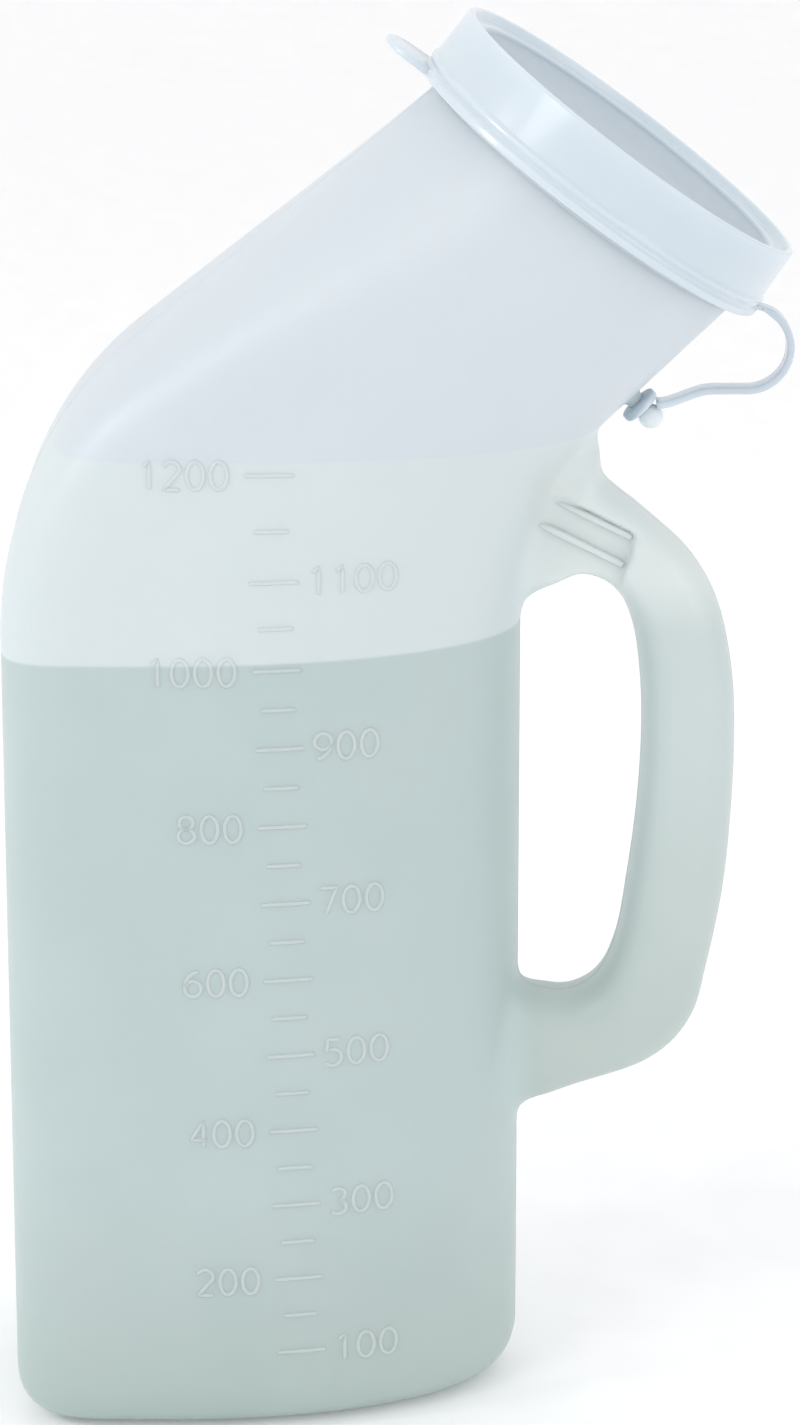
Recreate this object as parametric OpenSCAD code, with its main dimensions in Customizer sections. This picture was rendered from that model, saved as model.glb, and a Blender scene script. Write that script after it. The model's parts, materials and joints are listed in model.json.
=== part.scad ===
// Male urine bottle: a blow-moulded bottle with a raised scale and a handle loop,
// closed by a push-on lid that stays on a strap.
// Millimetres. +X points to the handle, +Z up, and the origin is the middle of the base.

/* [Bottle body] */
// Length of the body, from the flat back to the nose under the handle
body_w = 104; // [96:0.5:112]
// Depth of the body
body_d = 74; // [71:0.2:77]
// Share of the body's length that the squared back half takes
back_share = 0.33; // [0.25:0.01:0.45]
// Squareness of the back half: 2 is an ellipse, higher is squarer
back_square = 6.5; // [3:0.1:8]
// Radius between the base and the walls
base_r = 11; // [6:0.5:16]
// Wall thickness
wall = 1; // [0.8:0.1:1.5]

/* [Shoulder and neck] */
// Height at which the nose starts to lean out into the neck
nose_top = 163; // [155:1:170]
// Height at which the back starts to curve over
back_top = 167.5; // [160:0.5:174]
// Radius of the curve from the back into the shoulder
shoulder_r = 72; // [64:1:80]
// Angle that the shoulder curve turns through
shoulder_turn = 50.5; // [45:0.5:55]
// Outside diameter of the neck under the lid
neck_d = 72.8; // [72:0.1:73.4]
// Radius of the hollow curve under the neck
throat_r = 64; // [58:1:72]
// Angle that the throat curve turns through
throat_turn = 43; // [38:0.5:48]
// Tilt of the mouth from level
mouth_tilt = 36.7; // [33:0.1:40]
// Middle of the lid's lower edge, along X
mouth_x = 67.6; // [64:0.2:71]
// Middle of the lid's lower edge, height
mouth_z = 254.3; // [250:0.1:258]

/* [Handle] */
// Half depth of the grip
grip_half = 10.5; // [8:0.5:13]
// Squareness of the grip's section
grip_square = 2.7; // [2:0.1:4]
// Half thickness of the web between the grip and the body
web_half = 6; // [4:0.5:7.5]
// Half thickness of the web at its two ribs
rib_half = 8; // [6.5:0.5:9]

/* [Lid] */
// Height of the lid
lid_h = 12.5; // [11:0.5:14]
// Radius of the lid's flange
flange_r = 40; // [39.5:0.1:41]
// Radius of the lid's rim at its top
rim_r = 38; // [37.8:0.1:38.6]
// Depth of the panel under the rim
panel_drop = 2.6; // [1.5:0.1:3]
// Length of the pull tab past the flange
tab_l = 9; // [6:0.5:12]
// Width of the pull tab
tab_w = 16; // [10:0.5:20]

/* [Strap and stud] */
// Width of the strap
strap_w = 5; // [4:0.5:6.5]
// Thickness of the strap
strap_t = 1.5; // [1.2:0.1:1.8]
// Radius of the loop that the strap makes beside the lid
loop_r = 8.6; // [8:0.1:9.2]
// Radius of the ball on the stud
ball_r = 2.5; // [2.2:0.1:2.8]
// Radius of the stud's shank
shank_r = 1.6; // [1.3:0.1:1.8]

/* [Scale] */
// Highest mark, ml
scale_top = 1200; // [1000:50:1200]
// How far the marks stand out of the wall
mark_proud = 0.4; // [0.3:0.05:0.6]
// Width of a mark's stroke
stroke = 0.7; // [0.5:0.1:1]
// Height of the numerals
digit_h = 5.6; // [4.5:0.1:6.5]
// Lean of the scale's centre line
scale_lean = 1.6; // [0:0.1:3]

/* [Hidden] */

around = 44;            // points round one ring of the bottle
grip_around = 20;       // points round one ring of the handle
shoulder_steps = 20;
base_steps = 5;
finish_drop = 1;        // the neck ends this far below the lid's lower edge
milk = [0.80, 0.86, 0.86];
milk_light = [0.87, 0.91, 0.94];
half_w = body_w / 2;
half_d = body_d / 2;
neck_r = neck_d / 2;

// ---- sections and lofts ------------------------------------------------------------------

function sgn_pow(v, p) = sign(v) * pow(abs(v), p);
function smooth(s) = s * s * (3 - 2 * s);
function mix(a, b, t) = a + (b - a) * t;

// A ring from chord end p (the back or inner side) to chord end q, in the plane that the
// chord makes with Y. Every size is drawn in by inset.
function ring(p, q, half, share, square_back, square_nose, n, inset = 0) =
    let (w = norm(q - p), u = (q - p) / w, back = w * share, nose = w - back)
    [for (i = [0:n - 1])
        let (t = 360 * i / n,
             m = cos(t) < 0 ? square_back : square_nose,
             a = cos(t) < 0 ? back - inset : nose - inset,
             along = back + a * sgn_pow(cos(t), 2 / m),
             y = (half - inset) * sgn_pow(sin(t), 2 / m),
             at = p + u * along)
        [at[0], y, at[1]]];

module loft(rings) {
    n = len(rings[0]);
    m = len(rings);
    walls = [for (k = [0:m - 2], i = [0:n - 1])
        [k * n + i, k * n + (i + 1) % n, (k + 1) * n + (i + 1) % n, (k + 1) * n + i]];
    halves = [for (f = walls, s = [0, 1]) s == 0 ? [f[0], f[2], f[1]] : [f[0], f[3], f[2]]];
    foot = [[for (i = [0:n - 1]) i]];
    cap = [[for (i = [0:n - 1]) m * n - 1 - i]];
    polyhedron(points = [for (r = rings) each r], faces = concat(halves, foot, cap));
}

// ---- the bottle --------------------------------------------------------------------------

// A point after going len along: straight up, round an arc, and on in a straight line
function along_back(d) =
    let (up = back_top - nose_top, bend = shoulder_r * shoulder_turn * PI / 180)
    d < up ? [-half_w, nose_top + d] :
    d < up + bend ?
        let (g = (d - up) / shoulder_r * 180 / PI)
        [-half_w + shoulder_r * (1 - cos(g)), back_top + shoulder_r * sin(g)] :
        let (e = [-half_w + shoulder_r * (1 - cos(shoulder_turn)),
                  back_top + shoulder_r * sin(shoulder_turn)])
        mix(e, neck_end(-1), (d - up - bend) / norm(neck_end(-1) - e));
function along_throat(d) =
    let (bend = throat_r * throat_turn * PI / 180)
    d < bend ?
        let (g = d / throat_r * 180 / PI)
        [half_w + throat_r * (1 - cos(g)), nose_top + throat_r * sin(g)] :
        let (e = throat_end())
        mix(e, neck_end(1), (d - bend) / norm(neck_end(1) - e));
function throat_end() =
    [half_w + throat_r * (1 - cos(throat_turn)), nose_top + throat_r * sin(throat_turn)];
// Where the neck ends under the lid, at its high side (-1) or its low side (1)
function neck_end(side) =
    [mouth_x - finish_drop * sin(mouth_tilt) + side * neck_r * cos(mouth_tilt),
     mouth_z - finish_drop * cos(mouth_tilt) - side * neck_r * sin(mouth_tilt)];
back_len = back_top - nose_top + shoulder_r * shoulder_turn * PI / 180
    + norm(neck_end(-1) - [-half_w + shoulder_r * (1 - cos(shoulder_turn)),
                           back_top + shoulder_r * sin(shoulder_turn)]);
throat_len = throat_r * throat_turn * PI / 180 + norm(neck_end(1) - throat_end());

function body_ring(z, inset) =
    ring([-half_w, z], [half_w, z], half_d, back_share, back_square, 2, around, inset);
function neck_ring(s, inset) =
    ring(along_back(s * back_len), along_throat(s * throat_len), mix(half_d, neck_r, s),
         mix(back_share, 0.5, smooth(s)), mix(back_square, 2, smooth(s)), 2, around, inset);
// skin 0 is the outside and skin 1 the inside
function bottle_rings(skin) =
    let (off = skin * wall, r = base_r - off)
    concat(
        [for (i = [0:base_steps]) let (g = 90 * i / base_steps)
            body_ring(off + r * (1 - cos(g)), off + r * (1 - sin(g)))],
        [for (i = [0:shoulder_steps]) neck_ring(i / shoulder_steps, off)]);

module bottle_outside() loft(bottle_rings(0));
// The inside runs on a little past the neck's end, so that the end is open
module bottle_inside() {
    rings = bottle_rings(1);
    top = rings[len(rings) - 1];
    push = 2 * [sin(mouth_tilt), 0, cos(mouth_tilt)];
    loft(concat(rings, [[for (p = top) p + push]]));
}

// resize() to no new size keeps the shell one mesh
module bottle_body() color(milk) resize([0, 0, 0]) difference() {
    bottle_outside();
    bottle_inside();
}

// The mouth's own frame: z runs out of the mouth, x points down to its low side
module at_mouth() translate([mouth_x, 0, mouth_z]) rotate([0, mouth_tilt, 0]) children();

bore_r = 34;
ring_r = 35.4;          // outside of the mouth's ring
bead_r = 36.1;          // and of the bead that holds the lid
bead_z = 4.3;
lip_z = 7.9;
module neck_finish() color(milk_light) at_mouth() rotate_extrude($fn = 96) polygon([
    [bore_r, -finish_drop], [neck_r, -finish_drop], [neck_r, 0.6], [ring_r, 1.4],
    [ring_r, bead_z - 1.1], [bead_r, bead_z - 0.3], [bead_r, bead_z + 0.3], [ring_r, bead_z + 1.1],
    [ring_r - 0.2, lip_z - 0.6], [ring_r - 0.7, lip_z], [bore_r + 0.4, lip_z], [bore_r, lip_z - 0.4]]);

// ---- the handle --------------------------------------------------------------------------

// Pairs of points across the handle, from its root under the neck to its root on the body:
// the hole's side first, then the outer side
HANDLE = [
    [[44, 166], [50, 206]], [[52, 169], [66.5, 203]], [[58.5, 172.5], [68.5, 195]],
    [[64.5, 175], [77, 187.5]], [[71, 172], [86.5, 178.5]], [[75, 164.5], [92.2, 168]],
    [[76.8, 153], [95.2, 154]], [[77.2, 140], [96, 140]], [[76.4, 125], [95.6, 124]],
    [[74.6, 110], [94.3, 108]], [[72.4, 97], [91.4, 92]], [[68.6, 88.6], [88, 79.5]],
    [[62, 84.8], [79.5, 70.6]], [[54, 86], [63, 64.4]], [[44, 88], [44, 57]]];
hollow_from = 4;        // the grip and lower arm are hollow from this pair on
grip_wall = 2;

function handle_rings(inset, from) = [for (k = [len(HANDLE) - 1:-1:from])
    let (p = HANDLE[k][0], q = HANDLE[k][1])
    ring(p, q, grip_half, 0.5, grip_square, grip_square, grip_around, inset)];

// The outline of the web, seen from the side: its edge against the grip, then its edge on the hole
WEB_GRIP = [[50, 197.5], [75.2, 184.5], [73.8, 179], [71, 172.2]];
WEB_HOLE = [[67.5, 174.6], [64, 175.2], [60, 173.6], [56, 170], [50, 165]];
WEB_CLEAR = [[68, 160], [50, 150]];     // closes the outline past the hole, to cut the handle

// The two ribs' lower ends, their lean, length and thickness
RIBS = [[73.2, 184.1], [71.6, 178.4]];
rib_lean = 153;
rib_l = 19;
rib_t = 1.4;

module web_prism(half) translate([0, half, 0]) rotate([90, 0, 0]) linear_extrude(2 * half) children();

module handle() color(milk) resize([0, 0, 0]) difference() {
    loft(handle_rings(0, 0));
    loft(handle_rings(grip_wall, hollow_from));
    bottle_outside();
    web_prism(2 * grip_half) polygon(concat(WEB_GRIP, WEB_CLEAR));
}

module handle_web() color(milk) resize([0, 0, 0]) difference() {
    union() {
        web_prism(web_half) polygon(concat(WEB_GRIP, WEB_HOLE));
        // each rib slants down from the body and stops just short of the grip
        web_prism(rib_half) for (at = RIBS)
            translate(at) rotate(rib_lean) translate([0, -rib_t / 2]) square([rib_l, rib_t]);
    }
    bottle_outside();
}

// ---- the scale ---------------------------------------------------------------------------

function total(list) = list * [for (v = list) 1];
// Area inside the walls at the body's straight part
inner_area = let (r = body_ring(0, wall), n = len(r))
    total([for (i = [0:n - 1]) let (a = r[i], b = r[(i + 1) % n]) (a[0] * b[1] - b[0] * a[1]) / 2]);
// The base's rounding holds back this much height
base_loss = 1;
shoulder_ml = 1000;     // above this the shoulder narrows, and the marks stand further apart
shoulder_growth = 0.475;
function level(ml) =
    let (n = max(0, (ml - shoulder_ml) / 50))
    wall + base_loss + ml * 1000 / inner_area + shoulder_growth * n * n;

// Middle line of the scale at a height
function scale_x(z) = 7.5 - (z - 20) * tan(scale_lean);

// Which side of the chord at share s the point p is on, and the share whose chord meets it
function side_of(s, p) = let (a = along_back(s * back_len), b = along_throat(s * throat_len))
    (b[0] - a[0]) * (p[1] - a[1]) - (b[1] - a[1]) * (p[0] - a[0]);
function share_at(p, low = 0, high = 1, left = 14) = let (mid = (low + high) / 2)
    left == 0 ? mid
        : side_of(mid, p) > 0 ? share_at(p, mid, high, left - 1)
        : share_at(p, low, mid, left - 1);

// Front wall's y at a point in X and Z
function front_y(x, z) =
    let (s = z < nose_top ? 0 : share_at([x, z]),
         a = z < nose_top ? [-half_w, z] : along_back(s * back_len),
         b = z < nose_top ? [half_w, z] : along_throat(s * throat_len),
         w = norm(b - a), back = w * mix(back_share, 0.5, smooth(s)),
         e = (norm([x, z] - a) - back) / (w - back),
         f = (norm([x, z] - a) - back) / back,
         m = mix(back_square, 2, smooth(s)))
    -mix(half_d, neck_r, s) * (e < 0 ? pow(1 - pow(-f, m), 1 / m) : sqrt(1 - e * e));
function front_turn(x, z) = atan((front_y(x + 1, z) - front_y(x - 1, z)) / 2);
function front_lean(x, z) = atan((front_y(x, z + 1) - front_y(x, z - 1)) / 2);

// Stands its children on the wall at x, z. They are drawn flat, with y up.
module on_wall(x, z) translate([x, front_y(x, z), z]) rotate([0, 0, front_turn(x, z)])
    rotate([90 - front_lean(x, z), 0, 0]) translate([0, 0, -mark_sunk])
        linear_extrude(mark_proud + mark_sunk) children();

mark_sunk = 0.25;       // how far a mark's root goes into the wall
tick_major = 9.8;
tick_minor = 7;
module scale_ticks() color(milk_light) for (ml = [100:50:scale_top]) {
    long = ml % 100 == 0 ? tick_major : tick_minor;
    z = level(ml);
    for (half = [-1, 1])
        on_wall(scale_x(z) + half * long / 4, z) square([long / 2, stroke], center = true);
}

// Numerals are strokes between the corners of a box one wide and two high:
// corner 0 is low left, 1 low right, 2 middle left, 3 middle right, 4 top left and 5 top right
STROKES = [
    [[0, 1], [1, 5], [5, 4], [4, 0]], [[1, 5]], [[4, 5], [5, 3], [3, 2], [2, 0], [0, 1]],
    [[4, 5], [5, 1], [1, 0], [2, 3]], [[4, 2], [2, 3], [5, 1]], [[5, 4], [4, 2], [2, 3], [3, 1], [1, 0]],
    [[5, 4], [4, 0], [0, 1], [1, 3], [3, 2]], [[4, 5], [5, 1]],
    [[0, 1], [1, 5], [5, 4], [4, 0], [2, 3]], [[3, 2], [2, 4], [4, 5], [5, 1], [1, 0]]];
digit_w = digit_h * 0.52;
digit_gap = 2;          // between a mark and its number
pitch = digit_w + 1.5;
function corner(c) = [(c % 2) * digit_w, floor(c / 2) * digit_h / 2];

module bar(a, b) translate(a) rotate(atan2(b[1] - a[1], b[0] - a[0]))
    translate([-stroke / 2, -stroke / 2]) square([norm(b - a) + stroke, stroke]);

// The figures of a number from left to right
function figures(v) = v < 10 ? [v] : concat(figures(floor(v / 10)), [v % 10]);

module scale_numerals() color(milk_light) for (ml = [100:100:scale_top]) {
    list = figures(ml);
    left = (ml / 100) % 2 == 0;
    z = level(ml);
    gap = tick_major / 2 + digit_gap;
    from = left ? -gap - len(list) * pitch : gap;
    for (i = [0:len(list) - 1])
        on_wall(scale_x(z) + from + i * pitch + digit_w / 2, z)
            translate([-digit_w / 2, -digit_h / 2])
                for (s = STROKES[list[i]]) bar(corner(s[0]), corner(s[1]));
}

// ---- the lid -----------------------------------------------------------------------------

skirt_low = 39.15;      // the skirt's outside radius just over the flange
flange_h = 1.9;
skirt_in = 37.5;        // the skirt's inside radius at its lower edge
roof_in = 36.7;         // and under the roof
roof_z = 8.3;           // underside of the roof, just clear of the lip
rim_round = 1.6;

module lid_cap() color(milk_light) at_mouth() {
    rotate_extrude($fn = 96) union() {
        polygon([
            [0, roof_z], [roof_in, roof_z], [skirt_in, 0], [flange_r - 0.3, 0], [flange_r, 0.3],
            [flange_r, flange_h - 0.3], [flange_r - 0.3, flange_h], [skirt_low, flange_h],
            [rim_r, lid_h - rim_round], [rim_r - rim_round, lid_h - rim_round],
            [rim_r - rim_round, lid_h], [rim_r - rim_round - 0.4, lid_h],
            [rim_r - rim_round - 0.7, lid_h - panel_drop], [0, lid_h - panel_drop]]);
        intersection() {
            translate([rim_r - rim_round, lid_h - rim_round]) circle(rim_round, $fn = 48);
            translate([rim_r - rim_round, lid_h - rim_round]) square(rim_round);
        }
    }
    hinge_lug();
}

// The strap's root on the flange is thinned to a film hinge, on this axis in the mouth's frame
hinge_x = flange_r + 1.3;
hinge_z = -0.7;
film_gap = 0.3;
module hinge_lug() difference() {
    translate([flange_r - 1.6, -strap_w / 2, 0.1]) cube([2.6, strap_w, flange_h - 0.3]);
    translate([hinge_x, 0, hinge_z]) rotate([90, 0, 0])
        cylinder(r = strap_t / 2 + film_gap, h = strap_w + 2, center = true, $fn = 32);
    rotate_extrude($fn = 96) translate([flange_r - 3, -1]) square([2.99, flange_h + 2]);
}

module pull_tab() color(milk_light) at_mouth() difference() {
    translate([0, 0, 0.1]) linear_extrude(1.6) union() {
        translate([-flange_r - tab_l + tab_w / 3, -tab_w / 2]) square([tab_l + 2 - tab_w / 3, tab_w]);
        translate([-flange_r - tab_l + tab_w / 3, 0]) intersection() {
            circle(tab_w / 2, $fn = 64);
            translate([-tab_w / 3, -tab_w / 2]) square([tab_w / 3, tab_w]);
        }
    }
    translate([0, 0, -1]) cylinder(r = flange_r, h = 6, $fn = 96);
}

// ---- the strap and its stud --------------------------------------------------------------

// The hinge axis, as a point in X and Z
hinge_at = [mouth_x + hinge_x * cos(mouth_tilt) + hinge_z * sin(mouth_tilt),
            mouth_z - hinge_x * sin(mouth_tilt) + hinge_z * cos(mouth_tilt)];
loop_start = 69;        // the loop runs from this angle round to straight down
loop_at = hinge_at - loop_r * [cos(loop_start), sin(loop_start)];

// The stud stands square to the throat's straight stretch
stud_share = 0.19;      // its place along that stretch
throat_dir = let (v = neck_end(1) - throat_end()) v / norm(v);
stud_foot = mix(throat_end(), neck_end(1), stud_share);
eye_gap = 1.9;          // the eye's near face, above the wall
eye_t = 2;
eye_r = 4;
ball_z = 6.1;
boss_r = shank_r + 1.4; // the low boss under the shank
stud_sunk = 0.8;        // how far the boss goes into the wall

module at_stud() translate([stud_foot[0], 0, stud_foot[1]])
    rotate([0, 90 + atan2(throat_dir[0], throat_dir[1]), 0]) children();

module strap_stud() color(milk_light) at_stud() rotate_extrude($fn = 48) difference() {
    union() {
        translate([0, -stud_sunk]) square([shank_r, ball_z + stud_sunk]);
        translate([0, ball_z]) circle(ball_r, $fn = 48);
        polygon([[0, -stud_sunk], [boss_r, -stud_sunk], [boss_r - 0.2, 0.6],
            [shank_r, eye_gap - 0.2], [0, eye_gap - 0.2]]);
    }
    translate([-10, -5]) square([10, 20]);
}

module eye_solid() at_stud() translate([0, 0, eye_gap]) cylinder(r = eye_r, h = eye_t, $fn = 64);

module strap_eye() color(milk_light) difference() {
    eye_solid();
    at_stud() cylinder(r = shank_r + 0.05, h = 12, $fn = 48);
}

module lid_strap() color(milk_light) difference() {
    union() {
        translate([loop_at[0], 0, loop_at[1]]) rotate([90, 0, 0])
            rotate_extrude(angle = loop_start + 90, start = -90, $fn = 96)
                translate([loop_r - strap_t / 2, -strap_w / 2]) square([strap_t, strap_w]);
        translate([stud_foot[0] + 3, -strap_w / 2, loop_at[1] - loop_r - strap_t / 2])
            cube([loop_at[0] - stud_foot[0] - 3, strap_w, strap_t]);
        translate([hinge_at[0], 0, hinge_at[1]]) rotate([90, 0, 0])
            cylinder(r = strap_t / 2, h = strap_w, center = true, $fn = 32);
    }
    at_stud() translate([0, 0, -1]) cylinder(r = eye_r, h = eye_gap + eye_t + 4, $fn = 64);
}

bottle_body();
neck_finish();
handle();
handle_web();
scale_ticks();
scale_numerals();
strap_stud();
strap_eye();
lid_strap();
lid_cap();
pull_tab();
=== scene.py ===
"""A male urine bottle of milky polyethylene, with a handle loop and a push-on lid on a strap.

Lengths are written in millimetres and become metres when a mesh is made. Only the camera, the
lights and the floor are written in metres. The bottle's own frame is used throughout: +X points
to the handle, +Z is up, and the scale faces -Y.
"""
import json
import math

import bmesh
import bpy
import numpy as np
from mathutils import Matrix, Vector
from mathutils.bvhtree import BVHTree


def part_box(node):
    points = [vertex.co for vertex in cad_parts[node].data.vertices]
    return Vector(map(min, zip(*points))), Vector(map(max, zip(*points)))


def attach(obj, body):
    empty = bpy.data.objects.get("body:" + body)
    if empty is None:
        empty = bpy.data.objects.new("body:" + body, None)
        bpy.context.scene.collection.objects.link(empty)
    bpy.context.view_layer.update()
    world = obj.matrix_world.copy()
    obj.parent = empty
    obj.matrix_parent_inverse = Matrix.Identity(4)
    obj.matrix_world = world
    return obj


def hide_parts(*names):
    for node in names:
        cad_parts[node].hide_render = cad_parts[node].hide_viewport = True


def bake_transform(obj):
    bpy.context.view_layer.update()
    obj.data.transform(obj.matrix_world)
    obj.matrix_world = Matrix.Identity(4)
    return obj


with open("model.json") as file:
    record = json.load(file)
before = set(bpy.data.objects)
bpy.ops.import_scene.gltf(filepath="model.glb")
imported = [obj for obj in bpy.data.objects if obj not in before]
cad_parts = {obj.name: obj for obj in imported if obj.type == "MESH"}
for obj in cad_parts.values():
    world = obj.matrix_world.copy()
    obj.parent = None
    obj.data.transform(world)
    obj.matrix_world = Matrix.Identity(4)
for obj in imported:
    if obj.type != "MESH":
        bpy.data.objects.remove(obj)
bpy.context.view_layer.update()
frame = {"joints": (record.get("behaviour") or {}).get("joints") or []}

MM = 0.001

# ---- sizes ---------------------------------------------------------------------------------

BODY_LOW, BODY_HIGH = (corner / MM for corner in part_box("bottle_body"))
HALF_W = -BODY_LOW.x            # the body's flat back stands at -HALF_W, its nose at +HALF_W
HALF_D = BODY_HIGH.y
BACK_SHARE = 0.33               # the body is widest at this share of its length from the back
BACK_SQUARE = 6.5               # how square its back corners are, where 2 is an oval
BASE_R = 11
WALL = 1
PUSH_UP = 1.8                   # the middle of the base is this much above the ground

NOSE_TOP = 163
BACK_TOP = 167.5
SHOULDER_R = 72
SHOULDER_TURN = math.radians(50.5)
THROAT_R = 64
THROAT_TURN = math.radians(43)
NECK_R = 36.5
FINISH_DROP = 1

MOUTH_TILT = math.radians(36.4)
MOUTH_OUT = Vector((math.sin(MOUTH_TILT), 0, math.cos(MOUTH_TILT)))
MOUTH_LOW = Vector((math.cos(MOUTH_TILT), 0, -math.sin(MOUTH_TILT)))
HINGE_X, HINGE_Z = 42.56, 1.75  # the film hinge, in the mouth's own frame
HINGE = Vector(frame["joints"][0]["pos_m"]) / MM
MOUTH = HINGE - HINGE_X * MOUTH_LOW - HINGE_Z * MOUTH_OUT

GRIP_HALF = 10.5                # half thickness of the handle
GRIP_SQUARE = 2.7
POCKET_FLOOR = 7.4              # half thickness of the web between the two pockets
RIB_TOP = 8.6                   # half thickness over the two ribs that face each other

BORE_R = 34
RING_R = 36.3                   # outside of the mouth's ring
BEAD_R, BEAD_Z = 37.3, 5        # and of the bead that holds the lid
LIP_Z = 10.1

LID_H = 14.8
RIM_R = 40
FLANGE_R = 41.2
ROOF_Z = 10.5                   # underside of the lid's roof, just clear of the lip
PANEL_R = 35.2                  # the sunk panel in the lid's top
STRAP_W = 5
STRAP_T = 1.5
LOOP_R = 8.6
LOOP_START = math.radians(69)
LOOP_TURNS = LOOP_START + math.pi / 2
EYE_GAP, EYE_T, EYE_R = 1.9, 2, 4
BALL_R, BALL_Z, SHANK_R = 2.5, 6.1, 1.6

FILL_LEVEL = 164.5              # the contents' surface, seen through the wall
UPPER_LEVEL = 205.5             # a second, fainter change of tint on the shoulder


# ---- meshes --------------------------------------------------------------------------------

def smooth(s):
    return s * s * (3 - 2 * s)


def mix(a, b, t):
    return a + (b - a) * t


def power(v, p):
    return math.copysign(abs(v) ** p, v)


def new_piece(name, points, faces):
    """A smooth-shaded object from points in millimetres."""
    mesh = bpy.data.meshes.new(name)
    mesh.from_pydata([tuple(Vector(p) * MM) for p in points], [], faces)
    mesh.validate()
    piece = bpy.data.objects.new(name, mesh)
    bpy.context.scene.collection.objects.link(piece)
    mesh.polygons.foreach_set("use_smooth", [True] * len(mesh.polygons))
    mesh.update()
    return piece


def loft_faces(rings, closed=False):
    """Quads between rings of equal length, with the two end rings capped unless they meet."""
    count = len(rings[0])
    last = len(rings)
    faces = []
    for k in range(last if closed else last - 1):
        low, high = k * count, (k + 1) % last * count
        for i in range(count):
            j = (i + 1) % count
            faces.append((low + i, low + j, high + j, high + i))
    if not closed:
        faces.append(tuple(range(count - 1, -1, -1)))
        faces.append(tuple((last - 1) * count + i for i in range(count)))
    return faces


def loft(name, rings, closed=False):
    points = [p for ring in rings for p in ring]
    piece = new_piece(name, points, loft_faces(rings, closed))
    face_outward(piece)
    return piece


def face_outward(piece):
    work = bmesh.new()
    work.from_mesh(piece.data)
    bmesh.ops.recalc_face_normals(work, faces=work.faces)
    work.to_mesh(piece.data)
    work.free()


def settle(piece):
    """Turns the modifiers' result into the piece's own mesh."""
    graph = bpy.context.evaluated_depsgraph_get()
    made = bpy.data.meshes.new_from_object(piece.evaluated_get(graph))
    old = piece.data
    piece.modifiers.clear()
    piece.data = made
    bpy.data.meshes.remove(old)
    made.polygons.foreach_set("use_smooth", [True] * len(made.polygons))


def join(pieces):
    """The first piece takes in the meshes of the others."""
    work = bmesh.new()
    for piece in pieces:
        work.from_mesh(piece.data)
    work.to_mesh(pieces[0].data)
    work.free()
    discard(pieces[1:])
    return pieces[0]


def discard(pieces):
    for piece in pieces:
        mesh = piece.data
        bpy.data.objects.remove(piece)
        bpy.data.meshes.remove(mesh)


def carve(piece, cutter, operation="DIFFERENCE"):
    cut = piece.modifiers.new("carve", "BOOLEAN")
    cut.operation = operation
    cut.solver = "MANIFOLD"
    cut.object = cutter
    settle(piece)
    discard([cutter])


def bevelled(piece, width, segments=3):
    bevel = piece.modifiers.new("bevel", "BEVEL")
    bevel.width = width * MM
    bevel.segments = segments
    bevel.limit_method = "ANGLE"
    settle(piece)


def place(piece, origin, x_axis, z_axis):
    """Moves a mesh made in a frame of its own to origin, in millimetres."""
    y_axis = z_axis.cross(x_axis)
    turn = Matrix((x_axis, y_axis, z_axis)).transposed().to_4x4()
    piece.data.transform(Matrix.Translation(Vector(origin) * MM) @ turn)


def at_mouth(piece):
    place(piece, MOUTH, MOUTH_LOW, MOUTH_OUT)


def arc(middle, radius, start, end, steps):
    """Points on an arc in a flat frame, with the end points among them."""
    turns = [mix(start, end, k / steps) for k in range(steps + 1)]
    return [Vector((middle[0] + radius * math.cos(t), middle[1] + radius * math.sin(t))) for t in turns]


def rounded(corners, steps=6):
    """A closed outline from (x, z, radius) corners, each rounded with an arc."""
    outline = []
    for k, (x, z, radius) in enumerate(corners):
        at = Vector((x, z))
        before = (Vector(corners[k - 1][:2]) - at).normalized()
        after = (Vector(corners[(k + 1) % len(corners)][:2]) - at).normalized()
        if radius == 0:
            outline.append(at)
            continue
        half = before.angle(after) / 2
        middle = at + (before + after).normalized() * radius / math.sin(half)
        first = at + before * radius / math.tan(half) - middle
        last = at + after * radius / math.tan(half) - middle
        start = math.atan2(first.y, first.x)
        sweep = (math.atan2(last.y, last.x) - start + math.pi) % math.tau - math.pi
        outline += arc(middle, radius, start, start + sweep, steps)
    return outline


def lathe(name, outline, steps=160):
    """A closed outline of (radius, height) points turned round the piece's own z axis."""
    rings = []
    for k in range(steps):
        t = math.tau * k / steps
        rings.append([(p[0] * math.cos(t), p[0] * math.sin(t), p[1]) for p in outline])
    piece = loft(name, rings, closed=True)
    work = bmesh.new()
    work.from_mesh(piece.data)
    bmesh.ops.remove_doubles(work, verts=work.verts, dist=1e-7)
    bmesh.ops.recalc_face_normals(work, faces=work.faces)
    work.to_mesh(piece.data)
    work.free()
    return piece


# ---- the bottle's outline ------------------------------------------------------------------

def neck_end(side):
    """Where the neck ends under the lid, at its high side (-1) or its low side (1)."""
    return MOUTH - FINISH_DROP * MOUTH_OUT + side * NECK_R * MOUTH_LOW


def travel(start_x, straight, radius, turn, end):
    """A path that climbs, bends towards +X and runs straight to end: its length and its points."""
    bend = radius * turn
    leave = Vector((start_x + radius * (1 - math.cos(turn)), 0,
                    NOSE_TOP + straight + radius * math.sin(turn)))
    length = straight + bend + (end - leave).length

    def at(distance):
        if distance < straight:
            return Vector((start_x, 0, NOSE_TOP + distance))
        if distance < straight + bend:
            g = (distance - straight) / radius
            return Vector((start_x + radius * (1 - math.cos(g)), 0,
                           NOSE_TOP + straight + radius * math.sin(g)))
        return mix(leave, end, (distance - straight - bend) / (end - leave).length)
    return length, at


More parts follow.
